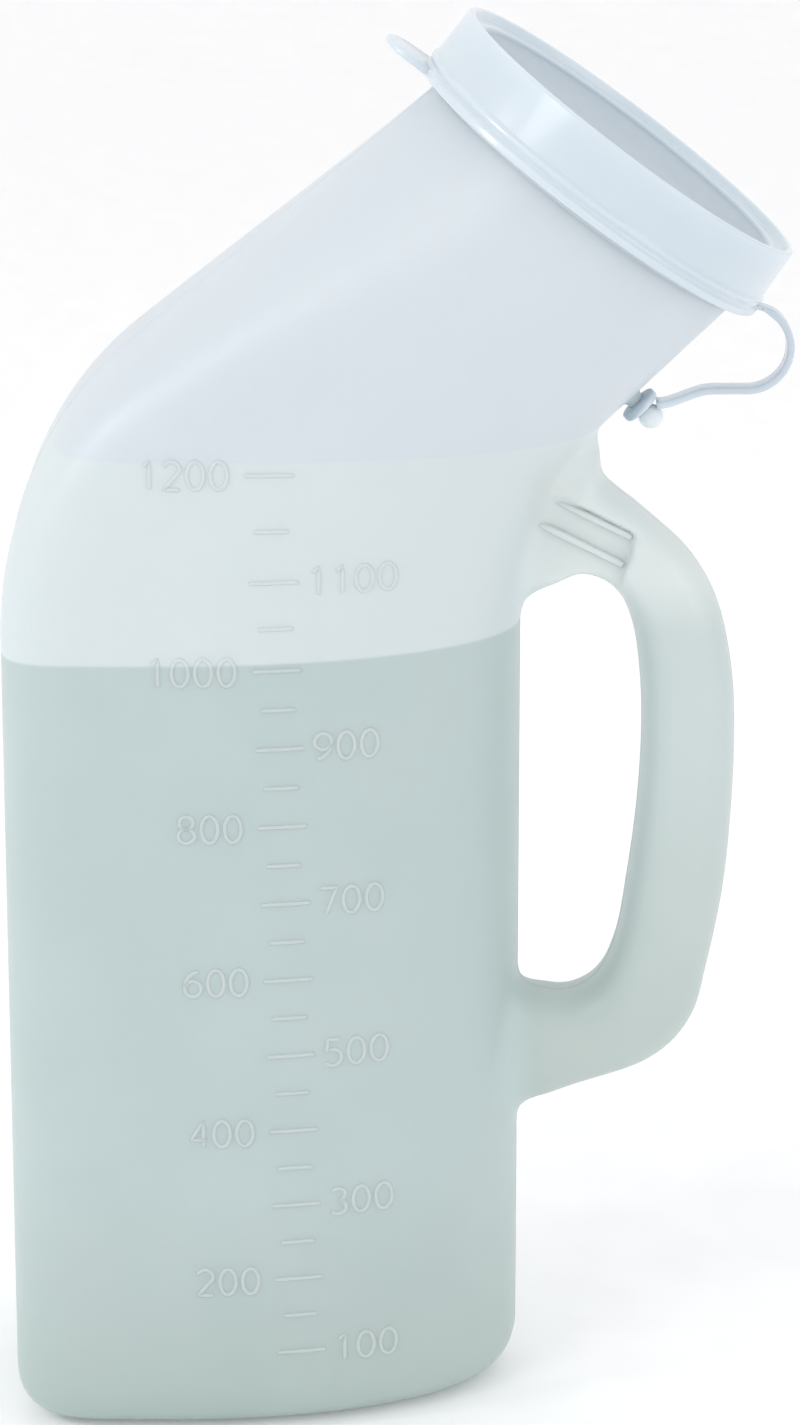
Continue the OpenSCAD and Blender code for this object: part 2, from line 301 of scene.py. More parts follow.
BACK_LEN, along_back = travel(-HALF_W, BACK_TOP - NOSE_TOP, SHOULDER_R, SHOULDER_TURN, neck_end(-1))
THROAT_LEN, along_throat = travel(HALF_W, 0, THROAT_R, THROAT_TURN, neck_end(1))


def even(points, count):
    """count points at equal steps round a closed line."""
    ends = points + points[:1]
    reach = [0.0]
    for a, b in zip(ends, ends[1:]):
        reach.append(reach[-1] + (b - a).length)
    found = []
    k = 0
    for i in range(count):
        goal = reach[-1] * i / count
        while reach[k + 1] < goal:
            k += 1
        t = (goal - reach[k]) / (reach[k + 1] - reach[k])
        found.append(mix(ends[k], ends[k + 1], t))
    return found


def section(p, q, half, share, square_back, square_nose, count, inset=0):
    """A ring from p, at the back or the hole, to q, in the plane that the chord makes with Y."""
    width = (q - p).length
    along = (q - p) / width
    back = width * share
    middle = p + along * back
    fine = []
    for i in range(count * 6):
        t = math.tau * i / (count * 6)
        behind = math.cos(t) < 0
        square = square_back if behind else square_nose
        reach = (back if behind else width - back) - inset
        out = reach * power(math.cos(t), 2 / square)
        side = (half - inset) * power(math.sin(t), 2 / square)
        fine.append(middle + along * out + Vector((0, side, 0)))
    return even(fine, count)


def body_ring(z, inset, count):
    return section(Vector((-HALF_W, 0, z)), Vector((HALF_W, 0, z)), HALF_D, BACK_SHARE,
                   BACK_SQUARE, 2, count, inset)


def neck_ring(s, inset, count):
    s_round = smooth(s)
    return section(along_back(s * BACK_LEN), along_throat(s * THROAT_LEN), mix(HALF_D, NECK_R, s),
                   mix(BACK_SHARE, 0.5, s_round), mix(BACK_SQUARE, 2, s_round), 2, count, inset)


def bottle_rings(skin, count, rise, shoulder_steps):
    """Rings of the outside (skin 0) or the inside (skin 1), from the middle of the base up."""
    off = skin * WALL
    corner = BASE_R - off
    rings = []
    # the push-up under the base: how far in from the wall, and the share of its height
    for inset, lift in ((31, 1), (25, 0.9), (19, 0.45), (14, 0.06)):
        rings.append(body_ring(off + PUSH_UP * lift, inset, count))
    for i in range(9):
        g = math.pi / 2 * i / 8
        rings.append(body_ring(off + corner * (1 - math.cos(g)), off + corner * (1 - math.sin(g)), count))
    steps = int((NOSE_TOP - BASE_R) / rise)
    for i in range(1, steps):
        rings.append(body_ring(mix(BASE_R, NOSE_TOP, i / steps), off, count))
    for i in range(shoulder_steps + 1):
        rings.append(neck_ring(i / shoulder_steps, off, count))
    return rings


def bottle_outside(count=220):
    """The outside, run on a little into the ring of the mouth."""
    rings = bottle_rings(0, count, 2.2, 60)
    top = neck_ring(1, 0.3, count)
    rings.append([p + 1.5 * MOUTH_OUT for p in top])
    return loft("outside", rings)


def bottle_inside(count=150):
    """The cavity, run on through the ring of the mouth."""
    rings = bottle_rings(1, count, 4, 40)
    rings.append([p + 4 * MOUTH_OUT for p in rings[-1]])
    return loft("inside", rings)


# ---- the handle ----------------------------------------------------------------------------

# Pairs of points (x, z) across the handle, from its root under the neck to its root on the
# body: the hole's side first, then the outer side
HANDLE = (
    ((44, 166), (50, 206)), ((52, 169), (66.5, 203)), ((58.5, 172.5), (68.5, 195)),
    ((64.5, 175), (77, 187.5)), ((71, 172), (86.5, 178.5)), ((75, 164.5), (92.2, 168)),
    ((76.8, 153), (95.2, 154)), ((77.2, 140), (96, 140)), ((76.4, 125), (95.6, 124)),
    ((74.6, 110), (94.3, 108)), ((72.4, 97), (91.4, 92)), ((68.6, 88.6), (88, 79.5)),
    ((62, 84.8), (79.5, 70.6)), ((54, 86), (63, 64.4)), ((44, 88), (44, 57)))
# The pocket's outline: its side against the grip, then across the hole and the body
POCKET = ((50, 197.5), (75.2, 184.5), (73.8, 179), (71, 172.2), (68, 160), (50, 150))


def flowing(a, b, c, d, t):
    """A point between b and c on the smooth curve through a, b, c and d."""
    return 0.5 * (2 * b + (c - a) * t + (2 * a - 5 * b + 4 * c - d) * t * t
                  + (3 * b - a - 3 * c + d) * t ** 3)


def handle_pairs(steps):
    """The handle's pairs with steps - 1 more between each two."""
    pairs = [tuple(Vector((x, 0, z)) for x, z in pair) for pair in HANDLE]
    full = []
    for k in range(len(pairs) - 1):
        near = [pairs[max(0, min(len(pairs) - 1, k + n))] for n in (-1, 0, 1, 2)]
        for i in range(steps):
            full.append(tuple(flowing(*(pair[side] for pair in near), i / steps) for side in (0, 1)))
    return full + [pairs[-1]]


def handle_solid():
    """The handle before its pockets are cut, with both its roots inside the body."""
    rings = []
    for p, q in handle_pairs(7):
        rings.append(section(p, q, GRIP_HALF, 0.5, GRIP_SQUARE, GRIP_SQUARE, 48))
    return loft("handle_solid", rings)


def prism(name, outline, low, high):
    """An outline in X and Z made solid between two values of y."""
    rings = [[(x, y, z) for x, z in outline] for y in (low, high)]
    return loft(name, rings)


def pocket_cutters():
    """What the two pockets take from the handle, from the web's floor out past its surface."""
    past = 20
    return [prism("pocket", POCKET, side * POCKET_FLOOR, side * past) for side in (-1, 1)]


# ---- the skin of the bottle ----------------------------------------------------------------

VOXEL = 1.0
FILLET_REACH = 6.5              # how far from the handle's roots the skin is softened
FILLET_PASSES = 45
PARTING_W, PARTING_H = 0.5, 0.16


def coordinates(mesh):
    found = np.zeros(len(mesh.vertices) * 3, np.float64)
    mesh.vertices.foreach_get("co", found)
    return found.reshape(-1, 3)


def relax(points, edges, weight, passes):
    """Draws each point towards the middle of its neighbours, as far as its weight says."""
    count = len(points)
    degree = np.bincount(edges.ravel(), minlength=count)[:, None]
    for _ in range(passes):
        total = np.zeros_like(points)
        for axis in range(3):
            total[:, axis] = (np.bincount(edges[:, 0], points[edges[:, 1], axis], count)
                              + np.bincount(edges[:, 1], points[edges[:, 0], axis], count))
        points += (total / degree - points) * (0.5 * weight)
    return points


def soften_roots(skin, body_tree, handle_tree):
    """Lays the skin back on the true surfaces, and blends them where they meet."""
    mesh = skin.data
    points = coordinates(mesh)
    exact = points.copy()
    far = np.zeros(len(points))
    for k, point in enumerate(points):
        on_body, _, _, to_body = body_tree.find_nearest(point)
        on_handle, _, _, to_handle = handle_tree.find_nearest(point)
        near = on_body if to_body < to_handle else on_handle
        gap = min(to_body, to_handle)
        far[k] = max(to_body, to_handle)
        if gap < VOXEL * MM * 0.8:
            exact[k] = near
    edges = np.zeros(len(mesh.edges) * 2, np.int64)
    mesh.edges.foreach_get("vertices", edges)
    edges = edges.reshape(-1, 2)
    share = np.clip(1 - far / (FILLET_REACH * MM), 0, 1)
    weight = (share * share * (3 - 2 * share))[:, None]
    points = relax(exact, edges, np.sqrt(weight), FILLET_PASSES)
    points = relax(points, edges, np.full((len(points), 1), 0.35), 2)
    mesh.vertices.foreach_set("co", points.ravel())
    mesh.update()


def raise_parting_line(skin):
    """A fine ridge round the bottle and its handle, where the halves of the mould meet."""
    work = bmesh.new()
    work.from_mesh(skin.data)
    for y in (-PARTING_W, -PARTING_W * 0.4, PARTING_W * 0.4, PARTING_W):
        near = [f for f in work.faces if abs(f.calc_center_median().y) < 3 * MM]
        geometry = near + list({e for f in near for e in f.edges}) + list({v for f in near for v in f.verts})
        bmesh.ops.bisect_plane(work, geom=geometry, dist=1e-6, plane_co=(0, y * MM, 0),
                               plane_no=(0, 1, 0))
    work.normal_update()
    for vert in work.verts:
        gap = abs(vert.co.y) / MM
        if gap < PARTING_W * 0.99:
            share = 1 - max(0, gap - PARTING_W * 0.4) / (PARTING_W * 0.6)
            vert.co += vert.normal * PARTING_H * MM * smooth(min(1, share))
    bmesh.ops.triangulate(work, faces=[f for f in work.faces if len(f.verts) > 4])
    work.to_mesh(skin.data)
    work.free()


def bottle_skin():
    """Body, neck and handle as the one hollow moulding that they are."""
    body = bottle_outside()
    handle = handle_solid()
    for cutter in pocket_cutters():
        carve(handle, cutter)
    graph = bpy.context.evaluated_depsgraph_get()
    body_tree = BVHTree.FromObject(body, graph)
    handle_tree = BVHTree.FromObject(handle, graph)
    skin = join([body, handle])
    skin.name = "bottle_skin"
    remesh = skin.modifiers.new("remesh", "REMESH")
    remesh.mode = "VOXEL"
    remesh.voxel_size = VOXEL * MM
    settle(skin)
    soften_roots(skin, body_tree, handle_tree)
    raise_parting_line(skin)
    carve(skin, bottle_inside())
    return skin


def neck_finish():
    """The ring of the mouth, with its lip and the bead that holds the lid."""
    low = -FINISH_DROP
    outline = rounded([
        (BORE_R, low - 2, 0), (BORE_R + 1.2, low - 2, 0), (NECK_R + 0.04, low, 0),
        (NECK_R + 0.04, 0.6, 0.4), (RING_R, 1.3, 0.4), (RING_R, BEAD_Z - 1.1, 0.3),
        (BEAD_R, BEAD_Z - 0.2, 0.35), (BEAD_R, BEAD_Z + 0.2, 0.35), (RING_R, BEAD_Z + 1.1, 0.4),
        (RING_R - 0.2, LIP_Z, 0.7), (BORE_R, LIP_Z, 0.5)])
    piece = lathe("mouth_ring", outline)
    at_mouth(piece)
    return piece


# ---- the web's ribs ------------------------------------------------------------------------

RIB_L, RIB_T = 18.6, 1.4
RIB_LEAN = math.radians(153)
RIBS = ((73.2, 184.1), (71.6, 178.4))   # where each starts, at the grip's side (x, z)


def rib(name, at, side):
    """One slanted rib across a pocket, on the -Y or the +Y side."""
    along = Vector((math.cos(RIB_LEAN), 0, math.sin(RIB_LEAN)))
    across = Vector((-along.z, 0, along.x))
    foot = POCKET_FLOOR - 1.5
    rings = []
    for step, height in ((-1.2, RIB_TOP - 0.2), (RIB_L * 0.5, RIB_TOP), (RIB_L, RIB_TOP + 0.2)):
        base = Vector((at[0], 0, at[1])) + along * step
        rings.append([base + across * RIB_T * w + Vector((0, side * d, 0))
                      for w, d in ((-0.7, foot), (-0.42, height), (0.42, height), (0.7, foot))])
    piece = loft(name, rings)
    bevelled(piece, 0.4, 4)
    return piece


# ---- the scale -----------------------------------------------------------------------------

STROKE_W, STROKE_H, STROKE_SINK = 0.9, 0.24, 0.3
TICK_MAJOR, TICK_MINOR = 9.8, 7
DIGIT_W, DIGIT_H, DIGIT_PITCH = 3.3, 5.6, 4.6
DIGIT_GAP = 2                   # between a mark and its number
SCALE_LEAN = math.tan(math.radians(1.6))
SCALE_X, SCALE_Z = 7.5, 20      # a point on the scale's middle line
TICK_STEP, NUMBER_STEP = 50, 100
SCALE_TOP = 1200
SCALE_BEND = 1000               # above this the marks stand further apart
SHOULDER_GROWTH = 0.475
INNER_AREA = 6189.5             # inside the walls, in square millimetres
BASE_LOSS = 1                   # the base's rounding holds back this much height


def mark_height(ml):
    """Where the contents would stand at a volume, and a growing amount more above SCALE_BEND."""
    steps = max(0, (ml - SCALE_BEND) / TICK_STEP)
    return WALL + BASE_LOSS + ml * 1000 / INNER_AREA + SHOULDER_GROWTH * steps * steps


def scale_x(z):
    """The middle line of the scale at a height."""
    return SCALE_X - (z - SCALE_Z) * SCALE_LEAN


def on_wall(tree, x, z, height):
    """A point height above the front wall."""
    hit, normal, _, _ = tree.ray_cast(Vector((x, -200, z)) * MM, Vector((0, 1, 0)))
    return hit / MM + normal * height


def stroke(tree, path, closed=False):
    """The rings of one raised stroke with soft edges, along a flat path of (x, z) points."""
    count = len(path)
    profile = ((-0.5, -STROKE_SINK), (-0.46, 0.05), (-0.27, 0.18), (0, STROKE_H), (0.27, 0.18), (0.46, 0.05),
               (0.5, -STROKE_SINK))
    rings = []
    for k in range(count):
        before = path[k - 1] if closed or k else path[k]
        after = path[(k + 1) % count] if closed or k < count - 1 else path[k]
        along = (after - before).normalized()
        side = Vector((-along.y, along.x))
        end = not closed and k in (0, count - 1)
        rings.append([(path[k] + side * STROKE_W * w * (0.55 if end else 1), h * (0.45 if end else 1))
                      for w, h in profile])
    return [[on_wall(tree, at.x, at.y, h) for at, h in ring] for ring in rings]


def eased(path):
    """A path with a soft start and end, and a point at least every millimetre."""
    full = [path[0], mix(path[0], path[1], min(0.4, 0.22 / (path[1] - path[0]).length))]
    for a, b in zip(path, path[1:]):
        steps = max(1, int((b - a).length / 1.0))
        full += [mix(a, b, i / steps) for i in range(1, steps + 1)]
    full.insert(-1, mix(path[-1], path[-2], min(0.4, 0.22 / (path[-1] - path[-2]).length)))
    return full


def bend(x, z, rx, rz, start, end):
    """Points on a stretch of an oval, in a digit's box one wide and two high."""
    steps = max(3, int(abs(end - start) / 22))
    turns = [math.radians(mix(start, end, k / steps)) for k in range(steps + 1)]
    return [(x + rx * math.cos(t), z + rz * math.sin(t)) for t in turns]


def digit(number):
    """The strokes of a digit, each as (points, closed), in a box one wide and two high."""
    oval = bend(0.5, 1, 0.5, 1, 0, 344)
    small = bend(0.5, 0.6, 0.5, 0.6, 0, 340)
    hook = [(0.86, 1.9)] + bend(0.95, 0.75, 0.94, 1.15, 118, 178)
    strokes = {
        0: [(oval, True)],
        1: [([(0.2, 1.62), (0.58, 2), (0.58, 0)], False)],
        2: [(bend(0.5, 1.46, 0.48, 0.54, 165, -38) + [(0.02, 0), (1, 0)], False)],
        3: [(bend(0.48, 1.52, 0.42, 0.48, 150, -80), False), (bend(0.48, 0.53, 0.5, 0.53, 92, -150), False)],
        4: [([(0.76, 0), (0.76, 2), (0, 0.58), (1, 0.58)], False)],
        5: [([(0.9, 2), (0.16, 2), (0.08, 1.12)] + bend(0.47, 0.63, 0.52, 0.63, 112, -145), False)],
        6: [(small, True), (hook, False)],
        7: [([(0, 2), (1, 2), (0.36, 0)], False)],
        8: [(bend(0.5, 1.52, 0.42, 0.48, 0, 340), True), (bend(0.5, 0.54, 0.5, 0.54, 0, 340), True)],
    }
    if number == 9:
        return [([(1 - x, 2 - z) for x, z in path], closed) for path, closed in digit(6)]
    return strokes[number]


class Marks:
    """Collects many closed strokes in one mesh."""

    def __init__(self, tree):
        self.tree = tree
        self.points = []
        self.faces = []

    def add(self, path, closed=False):
        rings = stroke(self.tree, path if closed else eased(path), closed)
        start = len(self.points)
        self.points += [p for ring in rings for p in ring]
        self.faces += [tuple(start + i for i in face) for face in loft_faces(rings, closed)]

    def piece(self, name):
        made = new_piece(name, self.points, self.faces)
        face_outward(made)
        return made


def scale_ticks(tree):
    """A mark every 50 ml, the ones for whole hundreds longer."""
    marks = Marks(tree)
    for ml in range(NUMBER_STEP, SCALE_TOP + 1, TICK_STEP):
        half = (TICK_MINOR if ml % NUMBER_STEP else TICK_MAJOR) / 2
        z = mark_height(ml)
        middle = scale_x(z)
        marks.add([Vector((middle - half, z)), Vector((middle + half, z))])
    return marks.piece("raised_ticks")


def scale_numerals(tree):
    """A number every 100 ml, on the left and the right in turn."""
    marks = Marks(tree)
    for ml in range(NUMBER_STEP, SCALE_TOP + 1, NUMBER_STEP):
        figures = [int(c) for c in str(ml)]
        z = mark_height(ml)
        gap = TICK_MAJOR / 2 + DIGIT_GAP
        left = ml // NUMBER_STEP % 2 == 0
        start = scale_x(z) + (-gap - len(figures) * DIGIT_PITCH if left else gap)
        for place_of, number in enumerate(figures):
            corner = Vector((start + place_of * DIGIT_PITCH, z - DIGIT_H / 2))
            for path, closed in digit(number):
                marks.add([corner + Vector((x * DIGIT_W, h * DIGIT_H / 2)) for x, h in path], closed)
    return marks.piece("raised_numerals")


# ---- the lid -------------------------------------------------------------------------------

def lid_cap():
    """Skirt, flange, a bead over it and the sunk panel, turned in one, and the hinge's lug."""
    outline = rounded([
        (0, ROOF_Z, 0), (38, ROOF_Z, 0.5), (38.8, 0.0, 0.2), (40.9, 0.0, 0.3), (FLANGE_R, 0.45, 0.3),
        (FLANGE_R, 1.4, 0.3), (40.75, 1.8, 0.3), (40.5, 2.5, 0.3), (40.9, 3.2, 0.3), (40.9, 3.7, 0.3),
        (40.4, 4.4, 0.4), (RIM_R, LID_H, 0.75), (RIM_R - 1.4, LID_H, 0.55), (RIM_R - 1.9, LID_H - 1.5, 0.5),
        (PANEL_R + 0.4, LID_H - 1.75, 0.8), (PANEL_R - 0.6, LID_H - 2.6, 0.8), (0, LID_H - 2.75, 0)])
    piece = lathe("lid_shell", outline, 200)
    lug_half = STRAP_W / 2
    lug = loft("lug", [[(39.8, y, 0.9), (41.9, y, 1.0), (42.2, y, 1.3), (42.2, y, 2.1), (41.7, y, 2.4),
                        (39.8, y, 2.5)] for y in (-lug_half, lug_half)])
    bevelled(lug, 0.15, 2)
    join([piece, lug])
    at_mouth(piece)
    return piece


TAB_L, TAB_W, TAB_T = 9, 16, 1.6


def pull_tab():
    """The tab on the high side of the flange, thinned a little towards its rounded end."""
    tip = FLANGE_R + TAB_L
    bow = TAB_W / 3
    root = -FLANGE_R + 1.6
    shape = [Vector((root, -TAB_W / 2)), Vector((-tip + bow, -TAB_W / 2))]
    for k in range(1, 16):
        t = math.pi * k / 16
        shape.append(Vector((-tip + bow - bow * math.sin(t), -TAB_W / 2 * math.cos(t))))
    shape += [Vector((-tip + bow, TAB_W / 2)), Vector((root, TAB_W / 2))]

    def level(x, top):
        out = max(0, -x - FLANGE_R) / TAB_L
        return 0.1 + (TAB_T - 0.35 * out if top else 0.1 * out)
    rings = [[(p.x, p.y, level(p.x, top)) for p in shape] for top in (False, True)]
    piece = loft("lid_tab", rings)
    bevelled(piece, 0.45, 4)
    at_mouth(piece)
    return piece


# ---- the strap and its stud ----------------------------------------------------------------

LOOP = Vector((HINGE.x - LOOP_R * math.cos(LOOP_START), 0, HINGE.z - LOOP_R * math.sin(LOOP_START)))
STUD_SHARE = 0.19
THROAT_END = along_throat(THROAT_R * THROAT_TURN)
THROAT_DIR = (neck_end(1) - THROAT_END).normalized()
STUD_FOOT = mix(THROAT_END, neck_end(1), STUD_SHARE)
STUD_OUT = Vector((THROAT_DIR.z, 0, -THROAT_DIR.x))


def at_stud(piece):
    place(piece, STUD_FOOT, STUD_OUT.cross(Vector((0, 1, 0))) * -1, STUD_OUT)


def strap_route():
    """The strap's middle line from the eye to the hinge."""
    eye = STUD_FOOT + STUD_OUT * (EYE_GAP + EYE_T / 2)
    lower = LOOP - Vector((0, 0, LOOP_R))
    first = eye + Vector((EYE_R - 0.7, 0, 0.35))
    route = []
    for k in range(16):
        t = k / 16
        route.append(Vector((mix(first.x, lower.x, t), 0, mix(first.z, lower.z, smooth(min(1, t * 1.6))))))
    for k in range(41):
        g = -math.pi / 2 + LOOP_TURNS * k / 40
        route.append(LOOP + LOOP_R * Vector((math.cos(g), 0, math.sin(g))))
    ahead = Vector((-math.sin(LOOP_START), 0, math.cos(LOOP_START)))
    route.append(HINGE + ahead * 0.5)
    return route


def lid_strap():
    """A flat strap with rounded edges, thinned where it meets the lid."""
    route = strap_route()
    half_w, half_t = STRAP_W / 2, STRAP_T / 2
    edge = rounded([(-half_w, -half_t, 0.5), (half_w, -half_t, 0.5), (half_w, half_t, 0.5),
                    (-half_w, half_t, 0.5)], 4)
    rings = []
    for k, at in enumerate(route):
        along = (route[min(k + 1, len(route) - 1)] - route[max(k - 1, 0)]).normalized()
        out = along.cross(Vector((0, 1, 0)))
        left = len(route) - 1 - k
        thin = mix(0.55, 1, smooth(min(1, left / 5)))
        rings.append([at + Vector((0, p.x, 0)) + out * p.y * thin for p in edge])
    return loft("hinge_strap", rings)


def strap_eye():
    """The ring at the strap's end, round the stud's shank."""
    hole = SHANK_R + 0.05
    top = EYE_GAP + EYE_T
    outline = rounded([(hole, EYE_GAP, 0.3), (EYE_R, EYE_GAP, 0.6), (EYE_R, top, 0.6), (hole, top, 0.3)], 5)
    piece = lathe("eye_ring", outline, 64)
    at_stud(piece)
    return piece


def strap_stud():
    """A ball on a shank, on a low boss of the neck."""
    shank_top = BALL_Z - math.sqrt(BALL_R ** 2 - SHANK_R ** 2)
    outline = [Vector((0, -1.2)), Vector((SHANK_R + 1.9, -1.2)), Vector((SHANK_R + 1.7, 0.1))]
    outline += arc((SHANK_R + 1.7, EYE_GAP - 0.2), 1.6, -math.pi / 2, -math.pi, 8)
    outline.append(Vector((SHANK_R, EYE_GAP)))
    start = math.atan2(shank_top - BALL_Z, SHANK_R)
    outline += arc((0, BALL_Z), BALL_R, start, math.pi / 2, 16)
    piece = lathe("ball_stud", outline, 64)
    at_stud(piece)
    return piece


# ---- materials -----------------------------------------------------------------------------

def srgb(red, green, blue):
    """A colour named in 8-bit screen values, as linear light."""
    def linear(value):
        value /= 255
        return value / 12.92 if value <= 0.04045 else ((value + 0.055) / 1.055) ** 2.4
    return (linear(red), linear(green), linear(blue), 1.0)


class Nodes:
    """A shorthand for building a material's nodes."""

    def __init__(self, name):
        self.material = bpy.data.materials.new(name)
        self.material.use_nodes = True
        self.tree = self.material.node_tree
        self.shader = self.tree.nodes["Principled BSDF"]
        self.position = self.add("ShaderNodeTexCoord").outputs["Object"]

    def add(self, kind, inputs=None, **settings):
        node = self.tree.nodes.new(kind)
        for key, value in settings.items():
            setattr(node, key, value)
        for key, value in (inputs or {}).items():
            if isinstance(value, bpy.types.NodeSocket):
                self.tree.links.new(value, node.inputs[key])
            else:
                node.inputs[key].default_value = value
        return node

    def axis(self, name):
        return self.add("ShaderNodeSeparateXYZ", {0: self.position}).outputs[name]

    def between(self, value, low, high):
        """0 at low and beyond, 1 at high and beyond, and smooth between. low may be the greater."""
        found = self.add("ShaderNodeMapRange", {0: value, 1: low, 2: high}, interpolation_type="SMOOTHSTEP")
        return found.outputs[0]

    def reach(self, value, low, high):
        """between, for a length whose ends are written in millimetres."""
        return self.between(value, low * MM, high * MM)

    def blend(self, share, first, second):
        found = self.add("ShaderNodeMix", {0: share}, data_type="RGBA")
        for socket, value in ((6, first), (7, second)):
            if isinstance(value, bpy.types.NodeSocket):
                self.tree.links.new(value, found.inputs[socket])
            else:
                found.inputs[socket].default_value = value
        return found.outputs[2]

    def vector(self, operation, first, second=None):
        """A vector sum. SCALE takes its second input as a number, and LENGTH takes only one."""
        inputs = {0: first}
        if second is not None:
            inputs[3 if operation == "SCALE" else 1] = second
        found = self.add("ShaderNodeVectorMath", inputs, operation=operation)
        return found.outputs["Value" if operation in ("DOT_PRODUCT", "LENGTH") else "Vector"]

    def noise(self, scale, detail=3.0):
        found = self.add("ShaderNodeTexNoise", {"Vector": self.position, "Scale": scale, "Detail": detail})
        return found.outputs["Fac"]

    def bump(self, height, strength, distance, under=None):
        inputs = {"Height": height, "Strength": strength, "Distance": distance}
        if under is not None:
            inputs["Normal"] = under
        return self.add("ShaderNodeBump", inputs).outputs["Normal"]

    def set(self, **values):
        for key, value in values.items():
            socket = self.shader.inputs[key.replace("_", " ")]
            if isinstance(value, bpy.types.NodeSocket):
                self.tree.links.new(value, socket)
            else:
                socket.default_value = value


def finish_plastic(nodes, colour, roughness, depth, share):
    """The parts that both plastics have: mottling, satin sheen, fine grain and soft depth."""
    cloud = nodes.noise(38, 2.0)
    speck = nodes.noise(420, 2.0)
    mottled = nodes.blend(nodes.between(cloud, 0.35, 0.7), colour, nodes.blend(0.035, colour, (1, 1, 1, 1)))
    rough = nodes.add("ShaderNodeMapRange", {0: speck, 1: 0.3, 2: 0.7, 3: roughness[0], 4: roughness[1]})
    waves = nodes.bump(nodes.noise(26, 1.0), 0.2, 0.0006)
    grain = nodes.bump(nodes.noise(1500, 2.0), 0.05, 0.00008, waves)
    nodes.set(Base_Color=mottled, Roughness=rough.outputs[0], Normal=grain, IOR=1.5)
    nodes.set(Subsurface_Weight=share, Subsurface_Radius=(1.0, 0.96, 0.92), Subsurface_Scale=depth)
    return nodes.material


FILLED = srgb(187, 204, 203)
FILLED_LOW = srgb(176, 193, 188)
SHOULDER = srgb(216, 228, 230)
NECK = srgb(214, 224, 231)
GRIP = srgb(196, 208, 207)
# painted shade: the handle darkens towards its lower arm
GRIP_LOW_SHADE = srgb(183, 196, 192)
# the web, which holds no contents, made paler still as painted light against the shade of its pockets and
# ribs
WEB_EMPTY_AND_LIT = srgb(214, 222, 221)
# the raised marks' paler, thicker plastic, also used as painted light on the strap's stud
MARK_AND_PAINTED_LIGHT = srgb(232, 240, 242)
LID_BACK = srgb(205, 217, 226)
LID_FRONT = srgb(202, 215, 224)
# painted shade in the lid's sunk panel
PANEL_SHADE = srgb(166, 182, 194)
STRAP = srgb(192, 204, 214)


def milky_hdpe(name, lift):
    """Milky natural polyethylene, tinted by what the bottle holds up to the fill level, with painted shade
    and light on the handle.

    lift is how far the tint is drawn towards the mark colour, where the plastic stands thicker; on the
    strap's stud the same lift is painted light over its shade.
    """
    nodes = Nodes(name)
    height = nodes.axis("Z")
    forward = nodes.axis("X")
    # darker towards the base, over the lowest 60 mm
    filled = nodes.blend(nodes.reach(height, 0, 60), FILLED_LOW, FILLED)
    upper = nodes.blend(nodes.reach(height, UPPER_LEVEL, UPPER_LEVEL + 0.8), SHOULDER, NECK)
    body = nodes.blend(nodes.reach(height, FILL_LEVEL, FILL_LEVEL + 0.9), filled, upper)
    # painted shade: the handle darkens from 150 mm down to 60 mm, over its lower arm
    arm = nodes.blend(nodes.reach(height, 60, 150), GRIP_LOW_SHADE, GRIP)
    # from 162 mm to 176 mm the handle turns to the web's colour: above the contents, and paler as painted
    # light over the pockets' shade
    grip = nodes.blend(nodes.reach(height, 162, 176), arm, WEB_EMPTY_AND_LIT)
    on_grip = nodes.reach(forward, HALF_W - 1, HALF_W + 5)
    below_neck = nodes.reach(height, 206, 196)
    share = nodes.add("ShaderNodeMath", {0: on_grip, 1: below_neck}, operation="MULTIPLY").outputs[0]
    colour = nodes.blend(lift, nodes.blend(share, body, grip), MARK_AND_PAINTED_LIGHT)
    return finish_plastic(nodes, colour, roughness=(0.36, 0.44), depth=0.006, share=0.35)


def lid_ldpe():
    """The lid's softer, bluer plastic, glossy but for its sunk panel, which is painted darker as shade, and
    darker in the strap.
    """
    nodes = Nodes("lid_ldpe")
    forward = nodes.axis("X")
    skirt = nodes.blend(nodes.reach(forward, 30, 110), LID_BACK, LID_FRONT)
    from_mouth = nodes.vector("SUBTRACT", nodes.position, MOUTH * MM)
    rise = nodes.vector("DOT_PRODUCT", from_mouth, MOUTH_OUT)
    axis_point = nodes.vector("SCALE", MOUTH_OUT, rise)
    radius = nodes.vector("LENGTH", nodes.vector("SUBTRACT", from_mouth, axis_point))
    panel_end, skirt_start = PANEL_R - 0.6, PANEL_R + 0.6
    # painted shade: the sunk panel is coloured darker than the skirt
    with_panel_shade = nodes.blend(nodes.reach(radius, skirt_start, panel_end), skirt, PANEL_SHADE)
    below = nodes.reach(rise, -0.2, -1.6)
    beside = nodes.reach(radius, FLANGE_R + 1.2, FLANGE_R + 2.2)
    off_lid = nodes.add("ShaderNodeMath", {0: below, 1: beside}, operation="MAXIMUM").outputs[0]
    near_eye = nodes.reach(forward, 92, 82)
    on_strap = nodes.add("ShaderNodeMath", {0: off_lid, 1: near_eye}, operation="SUBTRACT",
                         use_clamp=True).outputs[0]
    colour = nodes.blend(on_strap, with_panel_shade, STRAP)
    ends = {1: panel_end * MM, 2: skirt_start * MM, 3: 0.0, 4: 0.8}
    gloss = nodes.add("ShaderNodeMapRange", {0: radius, **ends})
    nodes.set(Coat_Weight=gloss.outputs[0], Coat_Roughness=0.16)
    return finish_plastic(nodes, colour, roughness=(0.36, 0.42), depth=0.005, share=0.3)


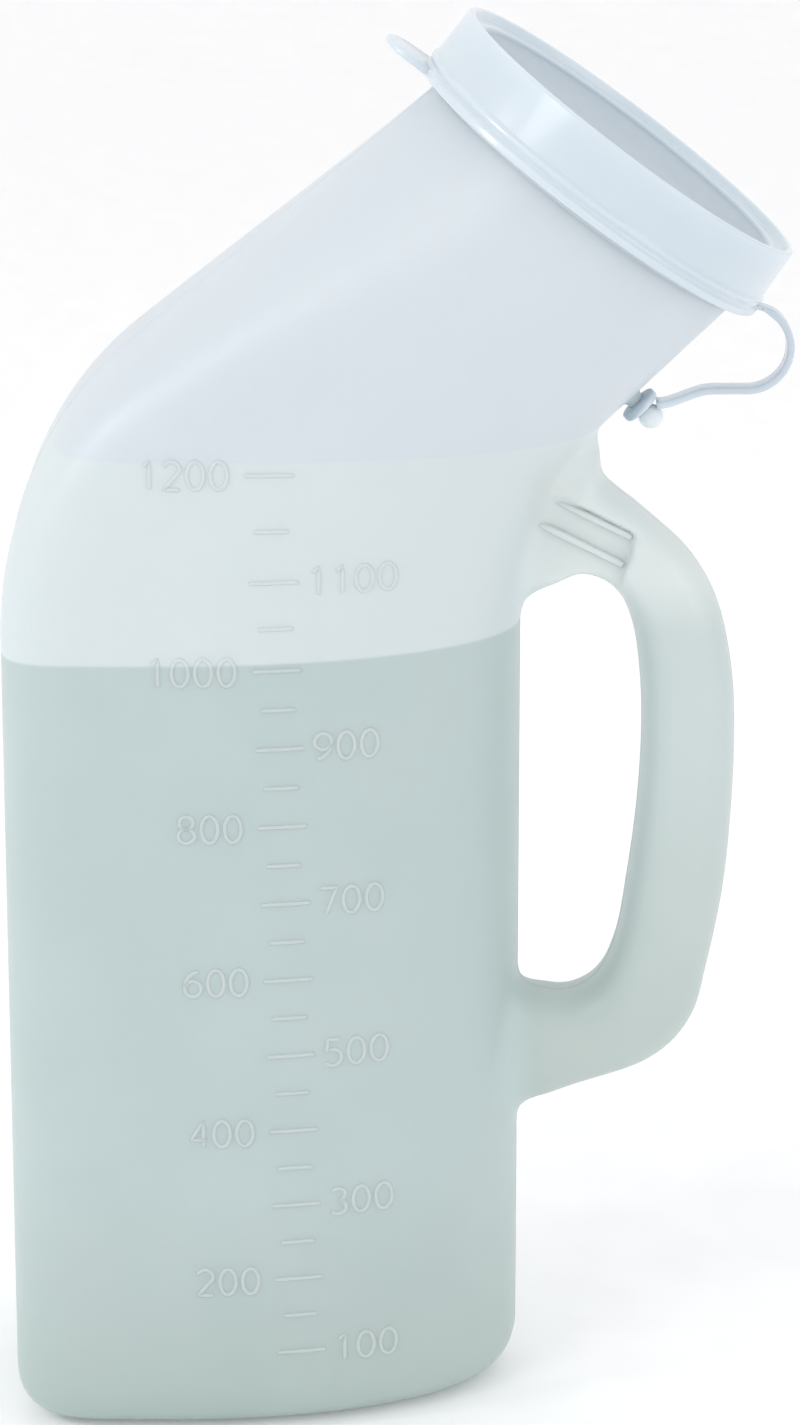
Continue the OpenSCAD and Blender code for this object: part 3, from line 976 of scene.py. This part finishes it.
def floor_paint():
    """Matt white, faintly flecked, that glows a little so that the floor stays pale."""
    nodes = Nodes("floor_paint")
    cloud = nodes.between(nodes.noise(60), 0.3, 0.7)
    fleck = nodes.blend(cloud, (0.90, 0.90, 0.91, 1), (0.93, 0.93, 0.94, 1))
    nodes.set(Base_Color=fleck, Roughness=0.7, Emission_Color=(1, 1, 1, 1), Emission_Strength=0.11)
    return nodes.material


# ---- the room ------------------------------------------------------------------------------

def camera():
    """The place, tilt and lens from which the bottle fills the frame."""
    data = bpy.data.cameras.new("camera")
    data.lens = 125.1
    data.sensor_width = 36
    data.clip_start = 0.01
    data.clip_end = 100
    made = bpy.data.objects.new("camera", data)
    made.location = (0.0277, -0.971, 0.4337)
    made.rotation_euler = (math.radians(73.42), 0, 0)
    bpy.context.scene.collection.objects.link(made)
    bpy.context.scene.camera = made


def area_light(name, at, toward, size, power_w):
    """A rectangle of light, aimed at a point."""
    data = bpy.data.lights.new(name, "AREA")
    data.shape = "RECTANGLE"
    data.size, data.size_y = size
    data.energy = power_w
    made = bpy.data.objects.new(name, data)
    made.location = at
    made.rotation_euler = (Vector(toward) - Vector(at)).to_track_quat("-Z", "Y").to_euler()
    bpy.context.scene.collection.objects.link(made)


def lights():
    """Large soft lights, a small one for the lid's highlight, and an even white surround."""
    area_light("key", (-0.75, -0.95, 1.15), (0.02, 0, 0.17), (0.5, 0.5), 2.8)
    area_light("fill", (1.1, -0.8, 0.5), (0.03, 0, 0.14), (0.9, 0.9), 2.2)
    area_light("top", (0.1, 0.25, 1.2), (0.03, 0, 0.14), (0.9, 0.7), 1)
    area_light("glint", (-1.05, -0.45, 0.85), (0.05, 0, 0.26), (0.2, 0.2), 2.2)
    world = bpy.data.worlds.new("studio")
    bpy.context.scene.world = world
    world.use_nodes = True
    back = world.node_tree.nodes["Background"]
    back.inputs["Color"].default_value = (1, 1, 1, 1)
    back.inputs["Strength"].default_value = 0.85


def floor():
    """A pale floor that turns up into a backdrop far behind the bottle."""
    depth, turn, height, half = 1.6, 0.6, 2.4, 3.0
    line = [(-half, 0.0)]
    line += [(depth + turn * math.sin(math.pi / 2 * k / 12), turn - turn * math.cos(math.pi / 2 * k / 12))
             for k in range(13)]
    line.append((depth + turn, height))
    points = [(x, y, z) for y, z in line for x in (-half, half)]
    faces = [(2 * k, 2 * k + 1, 2 * k + 3, 2 * k + 2) for k in range(len(line) - 1)]
    piece = new_piece("floor", [Vector(p) / MM for p in points], faces)
    piece.data.materials.append(floor_paint())


# ---- the pieces together -------------------------------------------------------------------

def finish(piece, material, slot, body, *nodes):
    """Gives a piece its material and its body, and hides the CAD nodes that it stands for."""
    piece.data.materials.clear()
    piece.data.materials.append(material)
    if body:
        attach(piece, body)
    if nodes:
        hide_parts(*nodes)


def bottle_pieces(milky, marks_and_lit_stud):
    skin = bottle_skin()
    tree = BVHTree.FromObject(skin, bpy.context.evaluated_depsgraph_get())
    finish(skin, milky, "milky_hdpe", "bottle", "bottle_body", "handle", "handle_web")
    finish(neck_finish(), milky, "milky_hdpe", "bottle", "neck_finish")
    finish(scale_ticks(tree), marks_and_lit_stud, "milky_hdpe", "bottle", "scale_ticks")
    finish(scale_numerals(tree), marks_and_lit_stud, "milky_hdpe", "bottle", "scale_numerals")
    # painted light: the stud takes the marks' paler colour to lift its shade under the lid
    finish(strap_stud(), marks_and_lit_stud, "milky_hdpe", "bottle", "strap_stud")
    for side, side_name in ((-1, "front"), (1, "rear")):
        for k, at in enumerate(RIBS, 1):
            finish(rib(f"web_rib_{side_name}_{k}", at, side), milky, "milky_hdpe", "bottle")


def lid_pieces(soft):
    finish(strap_eye(), soft, "lid_ldpe", "bottle", "strap_eye")
    finish(lid_cap(), soft, "lid_ldpe", "lid", "lid_cap")
    finish(pull_tab(), soft, "lid_ldpe", "lid", "pull_tab")
    strap = lid_strap()
    finish(strap, soft, "lid_ldpe", None, "lid_strap")
    # Known fault: a blend is measured along one straight line, here the strap's last stretch, and
    # the run to the eye also lies past its end. So that run follows the lid when the lid opens: it
    # leaves the eye and passes through the neck.
    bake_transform(strap)


camera()
floor()
lights()
# the paler second material serves the raised marks and, as painted light, the stud
bottle_pieces(milky_hdpe("milky_hdpe", 0.0), milky_hdpe("milky_hdpe_marks_and_lit_stud", 0.45))
lid_pieces(lid_ldpe())
bpy.context.scene.view_settings.view_transform = "Standard"
